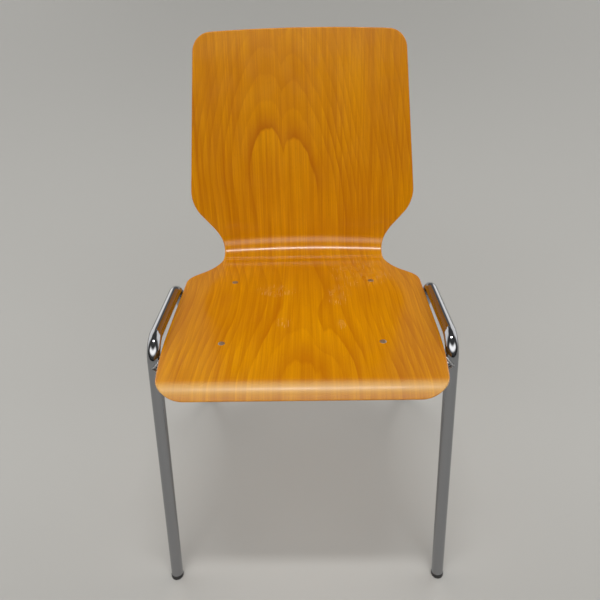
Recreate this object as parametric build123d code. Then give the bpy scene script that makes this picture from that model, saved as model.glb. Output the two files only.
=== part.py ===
"""Stacking chair: one moulded plywood shell screwed to a chromed tube frame.

The frame is two bent side hoops joined by two cross tubes. The shell rests on
four small plates welded to the cross tubes and is held by sleeve nuts whose
flat heads show in the seat. Millimetres, +Z up, front towards -Y, origin on
the floor under the middle of the chair.
"""

import os
from math import cos, hypot, radians, sin, tan

from build123d import *

# ---- shell ----------------------------------------------------------------
PLY = 10.5  # thickness of the moulded plywood
SEAT_SLOPE = 4.0  # degrees, the seat falls towards the back
RECLINE = 14.0  # degrees, the back leans from upright
FRONT_ROLL_RADIUS = 30.0  # upper face of the rolled front edge
FRONT_ROLL_TURN = 65.0  # degrees
REAR_BEND_RADIUS = 45.0  # upper face of the bend between seat and back
BACK_HOLLOW_RADIUS = 1200.0  # side-to-side hollow of the back
HOLLOW_STARTS, HOLLOW_FULL = 285.0, 385.0  # lengths along the shell between which it grows
SEAT_FLAT_FRONT = 91.5  # flat seat ahead of the front fixings
SEAT_FLAT_REAR = 293.0  # flat seat behind them, up to the bend
BACK_LENGTH = 369.5  # straight part of the back, to the middle of its top edge
TOP_CROWN_RADIUS = 2500.0
TOP_CORNER_RADIUS = 35.0
TOP_CORNER_DROP = 5.0  # how far the crown falls by the time it meets the corners

# half outline of the flat blank, walked from the front edge to the top
LIP_HALF_WIDTH = 160.0
FRONT_CORNER_RADIUS = 43.0
FRONT_SIDE_RADIUS = 1000.0
FRONT_SIDE_ANGLE = 7.1
SEAT_STRAIGHT_TO = 203.0
SEAT_CORNER_RADIUS = 40.0
SEAT_NECK_ANGLE = 47.5
SEAT_NECK_LINE = 17.0
SEAT_NECK_RADIUS = 98.0
BACK_NECK_RADIUS = 86.0
BACK_NECK_ANGLE = 40.5
BACK_NECK_LINE = 31.0
BACK_CORNER_RADIUS = 68.0
BACK_TAPER_ANGLE = 4.75
OUTLINE_STEP = 6.5  # spacing of the sections that the shell is lofted through

# ---- places of the fixings ------------------------------------------------
FIXING_SPACING_X = 243.0
FIXING_SPACING_Y = 201.0  # along the seat
FIXING_Y = -159.5  # front row
FIXING_Z = 440.5  # upper face of the seat at the front row

# ---- frame ----------------------------------------------------------------
TUBE_RADIUS = 10.0
TUBE_WALL = 2.0
FOOT_X = 229.0  # centre of each foot on the floor
HOOP_LEAN = 8.0 / 453.0  # the hoops lean in towards the seat, mm per mm of height
FRONT_FOOT_Y = -253.5
FRONT_CORNER_Y, FRONT_CORNER_Z = -175.2, 453.5
REAR_CORNER_Y, REAR_CORNER_Z = 15.8, 432.6
REAR_FOOT_Y = 212.5
FRONT_BEND_RADIUS = 33.0
REAR_BEND_RADIUS_TUBE = 46.0
REAR_CROSS_OFFSET = 5.0  # the rear cross tube stands this far ahead of the leg's centre
CROSS_END_GAP = 4.0  # the cross tubes stop this far short of the legs' centres

# ---- fixings and feet -----------------------------------------------------
PLATE_THICKNESS = 3.0
PLATE_WIDTH = 34.0
PLATE_MARGIN = 13.5  # plate beyond the tube's centre in front and the screw's centre behind
PLATE_CORNER_RADIUS = 6.0
PLATE_SINK = 0.6  # depth of the tube's seat in each plate
PAD_THICKNESS = 2.0
PAD_RADIUS = 12.0
NUT_HEAD_RADIUS, NUT_HEAD_THICKNESS = 5.25, 1.2
NUT_BARREL_RADIUS, NUT_LENGTH = 4.0, 9.5
SCREW_RADIUS, SCREW_LENGTH = 3.0, 13.5
SCREW_HEAD_RADIUS, SCREW_HEAD_HEIGHT, HEX_SOCKET = 5.0, 5.0, 2.3
WASHER_RADIUS, WASHER_HOLE_RADIUS, WASHER_THICKNESS = 6.0, 3.2, 1.0
FRONT_GLIDE_HEIGHT, REAR_GLIDE_HEIGHT = 6.5, 9.0
GLIDE_RADIUS = 10.4
GLIDE_PLUG_LENGTH = 22.0

SIDES = {"left": -1, "right": 1}


# ---- the shell's shape ----------------------------------------------------
def profile_point(s):
    """Point and upward normal (y, z) of the upper face at length s from the front fixings."""
    slope = radians(SEAT_SLOPE)
    if s < -SEAT_FLAT_FRONT:  # rolled front edge, convex
        turned = (-SEAT_FLAT_FRONT - s) / FRONT_ROLL_RADIUS
        heading = -slope + turned
        y0, z0 = -SEAT_FLAT_FRONT * cos(slope), SEAT_FLAT_FRONT * sin(slope)
        cy, cz = y0 - FRONT_ROLL_RADIUS * sin(slope), z0 - FRONT_ROLL_RADIUS * cos(slope)
        ny, nz = -sin(heading), cos(heading)
        return cy + FRONT_ROLL_RADIUS * ny, cz + FRONT_ROLL_RADIUS * nz, ny, nz
    if s <= SEAT_FLAT_REAR:  # flat seat
        return s * cos(slope), -s * sin(slope), sin(slope), cos(slope)
    y0, z0 = SEAT_FLAT_REAR * cos(slope), -SEAT_FLAT_REAR * sin(slope)
    cy, cz = y0 + REAR_BEND_RADIUS * sin(slope), z0 + REAR_BEND_RADIUS * cos(slope)
    turned = min((s - SEAT_FLAT_REAR) / REAR_BEND_RADIUS, bend_turn())
    ny, nz = sin(slope - turned), cos(slope - turned)
    run = max(0.0, s - back_start())  # straight back above the bend
    return cy - REAR_BEND_RADIUS * ny + run * nz, cz - REAR_BEND_RADIUS * nz - run * ny, ny, nz


def bend_turn():
    """Angle of the bend between seat and back, in radians."""
    return radians(90 - RECLINE + SEAT_SLOPE)


def back_start():
    """Length at which the bend ends and the straight back begins."""
    return SEAT_FLAT_REAR + REAR_BEND_RADIUS * bend_turn()


def hollow(s):
    """Side-to-side curvature: none in the seat, growing smoothly over the bend."""
    part = min(1.0, max(0.0, (s - HOLLOW_STARTS) / (HOLLOW_FULL - HOLLOW_STARTS)))
    return part * part * (3 - 2 * part) / BACK_HOLLOW_RADIUS


def walk(run, radius, turn):
    """Carries a run of the outline round an arc; positive turns (in degrees) widen the blank."""
    s, w, heading = run[-1]
    side = 1 if turn > 0 else -1
    steps = max(2, round(radius * radians(abs(turn)) / OUTLINE_STEP))
    for i in range(1, steps + 1):
        new = heading + radians(turn) * i / steps
        run.append((
            s + radius * side * (sin(new) - sin(heading)),
            w - radius * side * (cos(new) - cos(heading)),
            new,
        ))


def straight(run, length):
    """Carries a run of the outline straight on."""
    s, w, heading = run[-1]
    steps = max(1, round(length / OUTLINE_STEP))
    for i in range(1, steps + 1):
        part = length * i / steps
        run.append((s + part * cos(heading), w + part * sin(heading), heading))


def half_outline():
    """Runs of (length s, half width w, heading), from the front edge to the top edge."""
    lip = -SEAT_FLAT_FRONT - FRONT_ROLL_RADIUS * radians(FRONT_ROLL_TURN)
    corner = [(lip, LIP_HALF_WIDTH, radians(90))]
    walk(corner, FRONT_CORNER_RADIUS, FRONT_SIDE_ANGLE - 90)
    side = [corner[-1]]
    walk(side, FRONT_SIDE_RADIUS, -FRONT_SIDE_ANGLE)
    s, w, _ = side[-1]
    flank = [(s, w, 0.0), (SEAT_STRAIGHT_TO, w, 0.0)]
    neck = [flank[-1]]
    walk(neck, SEAT_CORNER_RADIUS, -SEAT_NECK_ANGLE)
    straight(neck, SEAT_NECK_LINE)
    walk(neck, SEAT_NECK_RADIUS, SEAT_NECK_ANGLE)
    walk(neck, BACK_NECK_RADIUS, BACK_NECK_ANGLE)
    straight(neck, BACK_NECK_LINE)
    walk(neck, BACK_CORNER_RADIUS, -(BACK_NECK_ANGLE + BACK_TAPER_ANGLE))
    s, w, heading = neck[-1]
    top = back_start() + BACK_LENGTH + 1.0
    taper = [(s, w, heading), (top, w + (top - s) * tan(heading), heading)]
    return [corner, side, flank, neck, taper]


def shell_point(s, x, depth=0.0):
    """Point of the shell at length s and offset x, a depth below the upper face."""
    y, z, ny, nz = profile_point(s)
    rise = hollow(s) * x * x / 2 - depth
    return Vector(x, FIXING_Y + y + ny * rise, FIXING_Z + z + nz * rise)


def shell_section(s, w):
    """Closed section across the shell at length s, half width w."""
    rim = [
        (shell_point(s, -w), shell_point(s, 0), shell_point(s, w)),
        (shell_point(s, w, PLY), shell_point(s, 0, PLY), shell_point(s, -w, PLY)),
    ]
    edges = []
    for start, middle, end in rim:
        if hollow(s) > 0:
            edges.append(ThreePointArc(start, middle, end).edge())
        else:
            edges.append(Line(start, end).edge())
    edges.append(Line(rim[0][2], rim[1][0]).edge())
    edges.append(Line(rim[1][2], rim[0][0]).edge())
    return Wire(edges)


def beyond_top_edge():
    """Block to cut away, so that the top edge is crowned and its corners are round."""
    s_top = back_start() + BACK_LENGTH
    s_known, w_known, heading = half_outline()[-1][0]
    corner_s = s_top - TOP_CORNER_RADIUS - TOP_CORNER_DROP
    side = w_known + (corner_s - s_known) * tan(heading)
    outside = 0.2  # the corner arc starts just outside the side, which keeps the cut clean
    corner_x = side - TOP_CORNER_RADIUS + outside
    crown_s = s_top - TOP_CROWN_RADIUS
    reach = TOP_CROWN_RADIUS / hypot(corner_x, corner_s - crown_s)
    meet = (corner_x * reach, crown_s + (corner_s - crown_s) * reach - s_top)
    start = (corner_x + TOP_CORNER_RADIUS, corner_s - s_top)
    diagonal = TOP_CORNER_RADIUS * sin(radians(45))
    between = (corner_x + diagonal, corner_s - s_top + diagonal)
    far = start[0] + 60
    above = 60
    edges = [
        ThreePointArc(start, between, meet),
        ThreePointArc(meet, (0, 0), mirrored(meet)),
        ThreePointArc(mirrored(meet), mirrored(between), mirrored(start)),
        Polyline(mirrored(start), (-far, start[1]), (-far, above), (far, above), (far, start[1]), start),
    ]
    y, z, ny, nz = profile_point(s_top)
    plane = Plane(origin=(0, FIXING_Y + y, FIXING_Z + z), x_dir=(1, 0, 0), z_dir=(0, ny, nz))
    return extrude(plane * make_face(Curve() + edges), amount=90, both=True)


def mirrored(point):
    """The same point on the chair's other side."""
    return -point[0], point[1]


def plywood_shell():
    """The moulded shell with its four countersunk holes."""
    shell = None
    for run in half_outline():
        piece = Solid.make_loft([shell_section(s, w) for s, w, _ in run])
        shell = piece if shell is None else shell + piece
    shell = shell - beyond_top_edge()
    for place in fixing_planes():
        hole = Pos(0, 0, -PLY) * Cylinder(NUT_BARREL_RADIUS, 3 * PLY)
        sink = Pos(0, 0, -NUT_HEAD_THICKNESS) * Cylinder(
            NUT_HEAD_RADIUS, 5, align=(Align.CENTER, Align.CENTER, Align.MIN))
        shell = shell - place * hole - place * sink
    return shell


# ---- fixings --------------------------------------------------------------
def fixing_plane(row, side):
    """Plane on the seat's upper face at one fixing, its z axis along the seat's normal."""
    s = 0.0 if row == "front" else FIXING_SPACING_Y
    y, z, ny, nz = profile_point(s)
    origin = (SIDES[side] * FIXING_SPACING_X / 2, FIXING_Y + y, FIXING_Z + z)
    return Plane(origin=origin, x_dir=(1, 0, 0), z_dir=(0, ny, nz))


def fixing_planes():
    """The planes of all four fixings."""
    return [fixing_plane(row, side) for row in ("front", "rear") for side in SIDES]


def disc(radius, top, height):
    """Round bar whose upper end is at the given height below or above the seat's face."""
    return Pos(0, 0, top - height) * Cylinder(
        radius, height, align=(Align.CENTER, Align.CENTER, Align.MIN))


def sleeve_nut(place):
    """Flat-headed sleeve nut with a blind tapped bore."""
    nut = disc(NUT_HEAD_RADIUS, 0, NUT_HEAD_THICKNESS) + disc(NUT_BARREL_RADIUS, 0, NUT_LENGTH)
    bore = disc(SCREW_RADIUS, -NUT_HEAD_THICKNESS - 0.8, NUT_LENGTH)
    return place * (nut - bore)


def spacer_pad(place):
    """Plastic ring between the shell and its mounting plate."""
    ring = disc(PAD_RADIUS, -PLY, PAD_THICKNESS) - disc(SCREW_RADIUS + 0.5, 0, 3 * PLY)
    return place * ring


def plate_levels():
    """Heights of a plate's upper and lower face below the seat's face."""
    upper = -PLY - PAD_THICKNESS
    return upper, upper - PLATE_THICKNESS


def washer(place):
    """Plain washer under the screw's head."""
    _, under = plate_levels()
    ring = disc(WASHER_RADIUS, under, WASHER_THICKNESS) - disc(WASHER_HOLE_RADIUS, 0, 3 * PLY)
    return place * ring


def shell_screw(place):
    """Socket-head screw, driven up from below."""
    seat = plate_levels()[1] - WASHER_THICKNESS
    shank = disc(SCREW_RADIUS, seat + SCREW_LENGTH, SCREW_LENGTH)
    head = disc(SCREW_HEAD_RADIUS, seat, SCREW_HEAD_HEIGHT)
    key = Pos(0, 0, seat - SCREW_HEAD_HEIGHT) * extrude(RegularPolygon(HEX_SOCKET, 6), amount=2.5)
    return place * (shank + head - key)


def mounting_plate(row, side):
    """Small steel plate, welded on its cross tube and drilled for the screw."""
    place = fixing_plane(row, side)
    upper, _ = plate_levels()
    front_y, rear_y = tube_offset(row) - PLATE_MARGIN, PLATE_MARGIN
    blank = Pos(0, (front_y + rear_y) / 2, upper - PLATE_THICKNESS) * extrude(
        RectangleRounded(PLATE_WIDTH, rear_y - front_y, PLATE_CORNER_RADIUS), amount=PLATE_THICKNESS)
    hole = disc(WASHER_HOLE_RADIUS, 0, 3 * PLY)
    return place * (blank - hole) - cross_bar(row, TUBE_RADIUS)


# ---- frame ----------------------------------------------------------------
def hoop_x(z):
    """Distance of a hoop's centre line from the middle plane at height z."""
    return FOOT_X - HOOP_LEAN * z


def hoop_corners(side):
    """Feet and bend corners of one hoop's centre line, front to rear."""
    places = [
        (FRONT_FOOT_Y, 0.0),
        (FRONT_CORNER_Y, FRONT_CORNER_Z),
        (REAR_CORNER_Y, REAR_CORNER_Z),
        (REAR_FOOT_Y, 0.0),
    ]
    return [Vector(SIDES[side] * hoop_x(z), y, z) for y, z in places]


def leg_ends(row, side):
    """Floor point and upper corner of one leg's centre line."""
    corners = hoop_corners(side)
    return (corners[0], corners[1]) if row == "front" else (corners[3], corners[2])


def leg_centre(row, height):
    """Place of a leg's centre line, front to rear, at a height."""
    foot, corner = leg_ends(row, "right")
    return foot.Y + (corner.Y - foot.Y) * height / corner.Z


def hoop_path(side):
    """Centre line of a hoop, from tube end to tube end above the feet."""
    points = hoop_corners(side)
    front = (points[1] - points[0]).normalized() * FRONT_GLIDE_HEIGHT
    rear = (points[2] - points[3]).normalized() * REAR_GLIDE_HEIGHT
    points[0] = points[0] + front
    points[3] = points[3] + rear
    return FilletPolyline(*points, radius=[FRONT_BEND_RADIUS, REAR_BEND_RADIUS_TUBE])


def hoop_body(side, radius):
    """Round bar along a hoop's centre line."""
    path = hoop_path(side)
    start = Plane(origin=path @ 0, z_dir=path % 0)
    return sweep(start * Circle(radius), path=path)


def side_hoop(side):
    """Bent steel tube: front leg, rail beside the seat and rear leg in one."""
    return hoop_body(side, TUBE_RADIUS) - hoop_body(side, TUBE_RADIUS - TUBE_WALL)


def tube_drop():
    """Depth of the cross tubes' centres below the seat's face."""
    return PLY + PAD_THICKNESS + PLATE_THICKNESS - PLATE_SINK + TUBE_RADIUS


def tube_offset(row):
    """Distance along the seat from a fixing back to its cross tube, which meets the legs' centres."""
    slope = radians(SEAT_SLOPE)
    fixing = fixing_plane(row, "right").origin
    ahead = REAR_CROSS_OFFSET if row == "rear" else 0.0
    offset = 0.0
    for _ in range(12):  # each pass brings the tube nearer to the leg's centre line
        height = fixing.Z - offset * sin(slope) - tube_drop() * cos(slope)
        leg_y = leg_centre(row, height) - ahead
        offset = (leg_y - fixing.Y + tube_drop() * sin(slope)) / cos(slope)
    return offset


def cross_centre(row):
    """Centre line of a cross tube as (y, z)."""
    place = fixing_plane(row, "right")
    centre = place.from_local_coords(Vector(0, tube_offset(row), -tube_drop()))
    return centre.Y, centre.Z


def cross_bar(row, radius):
    """Round bar along a cross tube, ending inside the legs."""
    y, z = cross_centre(row)
    length = 2 * (hoop_x(z) - CROSS_END_GAP)
    return Pos(0, y, z) * Rot(0, 90, 0) * Cylinder(radius, length)


def cross_tube(row):
    """Tube between the hoops, its ends shaped to the legs they are welded to."""
    tube = cross_bar(row, TUBE_RADIUS) - cross_bar(row, TUBE_RADIUS - TUBE_WALL)
    for side in SIDES:
        tube = tube - hoop_body(side, TUBE_RADIUS)
    return max(tube.solids(), key=lambda part: part.volume)


def foot_glide(row, side):
    """Moulded foot: a plug in the tube's end and a sole cut level with the floor."""
    foot, corner = leg_ends(row, side)
    height = FRONT_GLIDE_HEIGHT if row == "front" else REAR_GLIDE_HEIGHT
    axis = Plane(origin=foot, z_dir=corner - foot)
    align = (Align.CENTER, Align.CENTER, Align.MIN)
    sole = axis * (Pos(0, 0, -12) * Cylinder(GLIDE_RADIUS, height + 12, align=align))
    plug = axis * (Pos(0, 0, height) * Cylinder(
        TUBE_RADIUS - TUBE_WALL, GLIDE_PLUG_LENGTH, align=align))
    floor = Pos(foot.X, foot.Y, -30) * Box(80, 80, 60)
    return sole + plug - floor


def build():
    """Every node of the chair by name."""
    nodes = {"plywood_shell": plywood_shell()}
    for side in SIDES:
        nodes[f"{side}_side_hoop"] = side_hoop(side)
    for row in ("front", "rear"):
        nodes[f"{row}_cross_tube"] = cross_tube(row)
        for side in SIDES:
            place = fixing_plane(row, side)
            nodes[f"{row}_{side}_mounting_plate"] = mounting_plate(row, side)
            nodes[f"{row}_{side}_spacer_pad"] = spacer_pad(place)
            nodes[f"{row}_{side}_sleeve_nut"] = sleeve_nut(place)
            nodes[f"{row}_{side}_washer"] = washer(place)
            nodes[f"{row}_{side}_shell_screw"] = shell_screw(place)
            nodes[f"{row}_{side}_foot_glide"] = foot_glide(row, side)
    return nodes


def main():
    os.makedirs("parts", exist_ok=True)
    nodes = build()
    for name, shape in nodes.items():
        export_step(shape, f"parts/{name}.step")
    box = Compound(children=[s for s in nodes.values()]).bounding_box()
    print(f"{len(nodes)} nodes, box {box.min} to {box.max}")


main()
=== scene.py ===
# %% [markdown]
# # A stacking chair: lacquered plywood on a chromed tube frame
#
# A stacking chair of this kind has two side hoops of bent steel tube, two cross tubes welded between
# them, and one moulded plywood shell that is both seat and back. The shell is held by four sleeve nuts
# whose flat heads show in the seat. The measured model comes in as a fixed frame; here every piece is
# drawn again as a fine surface with rounded edges, in the same place, and given its real finish.

# %% The frame and the tools
from functools import partial
from math import atan2, cos, degrees, hypot, pi, radians, sin, sqrt, tan

import bpy
import numpy as np
from mathutils import Matrix, Vector


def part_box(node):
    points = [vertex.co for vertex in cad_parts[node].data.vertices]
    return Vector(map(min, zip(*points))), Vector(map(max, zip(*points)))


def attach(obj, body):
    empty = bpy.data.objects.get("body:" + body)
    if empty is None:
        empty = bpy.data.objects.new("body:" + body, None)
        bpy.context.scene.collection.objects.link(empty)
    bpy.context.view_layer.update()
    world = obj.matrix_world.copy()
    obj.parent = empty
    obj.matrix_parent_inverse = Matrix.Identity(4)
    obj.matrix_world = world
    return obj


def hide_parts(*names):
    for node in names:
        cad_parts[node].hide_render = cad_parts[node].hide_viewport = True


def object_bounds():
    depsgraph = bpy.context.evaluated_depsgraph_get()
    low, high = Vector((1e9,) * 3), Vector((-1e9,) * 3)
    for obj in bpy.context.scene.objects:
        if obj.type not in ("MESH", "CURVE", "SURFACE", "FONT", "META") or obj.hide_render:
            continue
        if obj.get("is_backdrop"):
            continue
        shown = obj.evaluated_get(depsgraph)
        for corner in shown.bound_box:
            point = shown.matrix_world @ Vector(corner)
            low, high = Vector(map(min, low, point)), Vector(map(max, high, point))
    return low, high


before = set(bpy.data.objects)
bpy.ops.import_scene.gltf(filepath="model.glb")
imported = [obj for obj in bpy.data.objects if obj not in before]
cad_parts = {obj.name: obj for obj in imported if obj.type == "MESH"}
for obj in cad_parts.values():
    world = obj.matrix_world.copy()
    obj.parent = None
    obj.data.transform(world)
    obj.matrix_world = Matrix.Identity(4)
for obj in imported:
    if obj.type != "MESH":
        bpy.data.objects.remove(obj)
cad_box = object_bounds()
MM = 0.001  # the sizes below are millimetres, and Blender's unit is the metre
print("nodes in the frame:", len(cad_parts))

# %% [markdown]
# ## From arrays to pieces
#
# A surface is a grid of points. It could be modelled by hand, by vertex and edge tools, but nearly
# everything on this chair is a ring carried along a path: tubes, nuts, washers, feet, even a plate with
# a hole. So one helper turns a stack of rings into a closed skin. The others number the faces, turn
# them outwards and hand the finished piece to the frame.

# %% Faces between rows of points
def faces_between(index, around=True):
    """Four-sided faces between neighbouring rows of a table of vertex numbers; around joins the last
    column to the first."""
    if around:
        index = np.hstack([index, index[:, :1]])
    corners = [index[:-1, :-1], index[:-1, 1:], index[1:, 1:], index[1:, :-1]]
    return np.stack(corners, -1).reshape(-1, 4)


def volume_inside(points, faces):
    """Signed volume of a closed skin: the sum over its triangles of a . (b x c) / 6, where each face
    is cut into triangles from its first corner. It is negative when the faces point inwards."""
    total = 0.0
    for face in faces:
        a = points[face[:, :1]]
        b, c = points[face[:, 1:-1]], points[face[:, 2:]]
        total += np.einsum("ijk,ijk->", np.broadcast_to(a, b.shape), np.cross(b, c)) / 6
    return total


# %% A piece of the chair
def make_piece(name, points, faces, material, stands_for, even=True):
    """Makes the mesh from points in millimetres and a list of face tables, turned outwards."""
    volume = volume_inside(points, faces)
    if volume < 0:
        faces = [face[:, ::-1] for face in faces]
    mesh = bpy.data.meshes.new(name)
    mesh.from_pydata((points * MM).tolist(), [], [f for face in faces for f in face.tolist()])
    mesh.shade_smooth()
    mesh.materials.append(material)
    piece = bpy.data.objects.new(name, mesh)
    bpy.context.scene.collection.objects.link(piece)
    if even:  # large flat faces keep their own direction, so that only the rounded edges look round
        piece.modifiers.new("flat faces lead", "WEIGHTED_NORMAL")
    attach(piece, "root")
    if stands_for:
        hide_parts(*stands_for)
    print(f"{name}: {len(mesh.polygons)} faces, {abs(volume) / 1000:.2f} cm3")
    return piece


def skin_of_rings(rings, closed=False):
    """Points and faces of a skin over a stack of rings, given as (ring, point, xyz). A closed stack
    joins its last ring to its first; an open one ends in two flat caps."""
    count, around = rings.shape[:2]
    index = np.arange(count * around).reshape(count, around)
    if closed:
        return rings.reshape(-1, 3), [faces_between(np.vstack([index, index[:1]]))]
    caps = np.vstack([index[0][::-1], index[-1]])
    return rings.reshape(-1, 3), [faces_between(index), caps]


# %% [markdown]
# ## Colour and shader nodes
#
# Colours are written as they look on a screen. Light adds up in linear values, so one function turns
# each into what the shader needs. A second one adds a node with its settings and its links, and a
# material is given that function ready to use on its own nodes.

# %% Colours and nodes
def linear(screen_colour, alpha=1.0):
    """Linear RGBA of a screen colour such as "#C47A10"."""
    part = np.array([int(screen_colour[i:i + 2], 16) / 255 for i in (1, 3, 5)])
    part = np.where(part <= 0.04045, part / 12.92, ((part + 0.055) / 1.055) ** 2.4)
    return (*part.tolist(), alpha)


def add(tree, kind, *values, stops=(), **named):
    """Adds a node and returns its first output. The values, which may be outputs of other nodes, go to
    its inputs in their order. A name with a capital letter is an input too, and one in small letters
    is a setting of the node. Stops are the places and colours of a ramp."""
    node = tree.nodes.new("ShaderNode" + kind)
    for name in filter(str.islower, named):
        setattr(node, name, named[name])
    given = list(zip([socket for socket in node.inputs if socket.enabled], values))
    given += [(node.inputs[name], value) for name, value in named.items() if not name.islower()]
    for socket, value in given:
        if isinstance(value, bpy.types.NodeSocket):
            tree.links.new(value, socket)
        else:
            socket.default_value = value
    if stops:
        ramp = node.color_ramp.elements
        while len(ramp) < len(stops):
            ramp.new(0.5)
        for element, (place, colour) in zip(ramp, stops):
            element.position, element.color = place, colour
    return next((output for output in node.outputs if output.enabled), None)


def new_material(name):
    """An empty material, and the function that adds nodes to it."""
    material = bpy.data.materials.new(name)
    material.use_nodes = True
    material.node_tree.nodes.clear()
    return material, partial(add, material.node_tree)


def surface(node, colour, dull, relief, strength, relief_mm, **more):
    """Ends a material: its colour, roughness and relief go to one Principled surface."""
    bump = node("Bump", Strength=strength, Distance=relief_mm * MM, Height=relief)
    node("OutputMaterial", node("BsdfPrincipled", colour, Roughness=dull, Normal=bump, **more))


SMOOTH = {"interpolation_type": "SMOOTHSTEP"}  # for a Map Range that starts and ends without a kink

# %% [markdown]
# ## Beech veneer under amber lacquer
#
# The shell's faces are beech veneer peeled or sliced from a log. Where the knife cuts across the log's
# taper, the growth rings come out as tall nested arches, and beside them as close straight lines. A
# stretched noise alone gives only streaks, and a wood picture would not follow the bent sheet. So the
# figure is worked out: ring number = how far up the log + how far from its middle, and each whole
# number is the edge of a year's growth. The pattern reads the flat sheet's own coordinates, x across
# and s along, in millimetres, so it runs unbroken from the front edge over the bend to the top.
#
# The lacquer is an amber nitrocellulose or acid-cured varnish: deep orange, glossy, rubbed dull on the
# front edge, with fine pale scratches where people sit.

# %% Sizes of the veneer's figure
SHELL_THICKNESS, PLIES = 10.5, 9
RING_PITCH, ARCH_REACH = 7.5, 160.0  # growth rings far from the heart; how soft the figure is at it
SEAT_ARCH_START, SEAT_ARCH_END, SEAT_ARCH_RINGS = -110.0, 130.0, 1.83  # rings crossed between them
BACK_ARCH_START, BACK_ARCH_REACH, BACK_ARCH_PITCH = 455.0, 80.0, 42.0
SEAT_HEART_X, WAIST_HEART_X, BACK_HEART_X = 2.0, -27.0, -43.0  # middle of the figure
SEAT_NOTCH_X, BACK_NOTCH_X, NOTCH_WIDTH = 33.0, -34.0, 17.0  # where the arches' crowns are notched
SEAT_NOTCH_RINGS, BACK_NOTCH_RINGS = 0.9, 1.12  # how many rings deep the notches are
WANDER, RING_UNREST = 6.0, 0.25  # the lines wander sideways by this, and shift by this many rings
SEAT_TO_WAIST, WAIST_TO_BACK = (150.0, 350.0), (350.0, 560.0)  # s between which the heart shifts
NOTCH_SHIFTS = (150.0, 430.0)
SEAT_NOTCH_BEGINS, SEAT_NOTCH_ENDS, BACK_NOTCH_BEGINS = (-70.0, 0.0), (60.0, 160.0), (400.0, 480.0)
BACK_EDGE_BEGINS, SEAT_EDGE_ENDS = (380.0, 460.0), (110.0, 160.0)  # where the hearts' edges are dark
PLAIN_HEART_BEGINS, CALM_BEGINS = (430.0, 330.0), (570.0, 680.0)  # where lines are fainter
HEART_RING = 0.28  # ring number at the edge of the heart, so that a growth line falls there
SEAT_HEART_YEAR, BACK_HEART_YEAR = 2.0, 3.0  # the hearts are edged by these growth lines
DEPTH_GRAIN = 2.857  # millimetres of depth over which the noise changes
UNDERSIDE_SHIFT = 9.0  # the underside is another sheet: its figure is moved by this times the depth
FIBRE_WIDTH, FIBRE_LENGTH = 2.6, 210.0  # real fibres are finer: drawn as coarse as they need to show
STREAK_WIDTH, STREAK_LENGTH = 9.0, 260.0
PORE_WIDTH, PORE_LENGTH = 0.9, 9.0
SCRATCH_WIDTH, SCRATCH_LENGTH = 1.5, 34.0
YEAR_TONES = [(0.0, 0.0), (0.10, 1.0), (0.45, 0.5), (0.85, 0.1), (1.0, 0.0)]  # part of a year, darkness

LIGHT_WOOD, DARK_WOOD = linear("#E39B00"), linear("#B26200")
FIBRE_WOOD, PORE_WOOD = linear("#C27200"), linear("#8A4C00")
# the second colour here is the cream of a painted highlight along the front edge, not of wood or wear
SCRATCH_PALE, PAINTED_HIGHLIGHT_CREAM = linear("#F0C682"), linear("#FFE0A0")
LONG_GRAIN_PLY, END_GRAIN_PLY, GLUE_LINE = linear("#DCA04A"), linear("#A8682A"), linear("#6E3F16")
print(f"{PLIES} plies of {SHELL_THICKNESS / PLIES:.2f} mm")

# %% The sheet's coordinates
beech, wood = new_material("lacquered_beech_plywood")
sheet_mm = wood("VectorMath", wood("UVMap", uv_map="sheet"), 1 / MM, operation="SCALE")
depth_mm = wood("Attribute", attribute_name="depth").node.outputs["Fac"]
sheet_part = wood("SeparateXYZ", sheet_mm).node.outputs
along = sheet_part["Y"]
across = wood("Math", depth_mm, UNDERSIDE_SHIFT, sheet_part["X"], operation="MULTIPLY_ADD")
sheet_place = wood("CombineXYZ", across, along, depth_mm)


def stretched_noise(width, length, **detail):
    """Noise whose grains are this wide and this long on the sheet, in millimetres."""
    scaled = wood("VectorMath", sheet_place, (1 / width, 1 / length, 1 / DEPTH_GRAIN), operation="MULTIPLY")
    return wood("TexNoise", scaled, Scale=1.0, **detail)


print("sheet's coordinates:", len(beech.node_tree.nodes), "nodes")

# %% How far the growth rings are from the heart, sideways and along the log
def softened(value, reach, pitch):
    """(sqrt(value^2 + reach^2) - reach) / pitch: rings that begin slowly and then come evenly."""
    squares = wood("Math", value, value, reach ** 2, operation="MULTIPLY_ADD")
    beyond = wood("Math", wood("Math", squares, operation="SQRT"), reach, operation="SUBTRACT")
    return wood("Math", beyond, pitch, operation="DIVIDE")


wander = wood("Math", stretched_noise(80.0, 240.0, Detail=2.0), 2 * WANDER, -WANDER, operation="MULTIPLY_ADD")
low_heart = wood("MapRange", along, *SEAT_TO_WAIST, SEAT_HEART_X, WAIST_HEART_X, **SMOOTH)
high_heart = wood("MapRange", along, *WAIST_TO_BACK, 0.0, BACK_HEART_X - WAIST_HEART_X, **SMOOTH)
heart_x = wood("Math", low_heart, high_heart, operation="ADD")
off_heart = wood("Math", wood("Math", across, heart_x, operation="SUBTRACT"), wander, operation="ADD")
sideways = softened(off_heart, ARCH_REACH, RING_PITCH)
seat_climb = wood("MapRange", along, SEAT_ARCH_START, SEAT_ARCH_END, 0.0, SEAT_ARCH_RINGS, **SMOOTH)
up_back = wood("Math", wood("Math", along, BACK_ARCH_START, operation="SUBTRACT"), 0.0, operation="MAXIMUM")
back_climb = softened(up_back, BACK_ARCH_REACH, BACK_ARCH_PITCH)
print("distance from the heart:", len(beech.node_tree.nodes), "nodes")

# %% [markdown]
# A log is not round: where a bump on its side is cut, the crown of every arch dips. The dip is a notch,
# which falls away to both sides as e to the power of minus the distance over its width.

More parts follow.
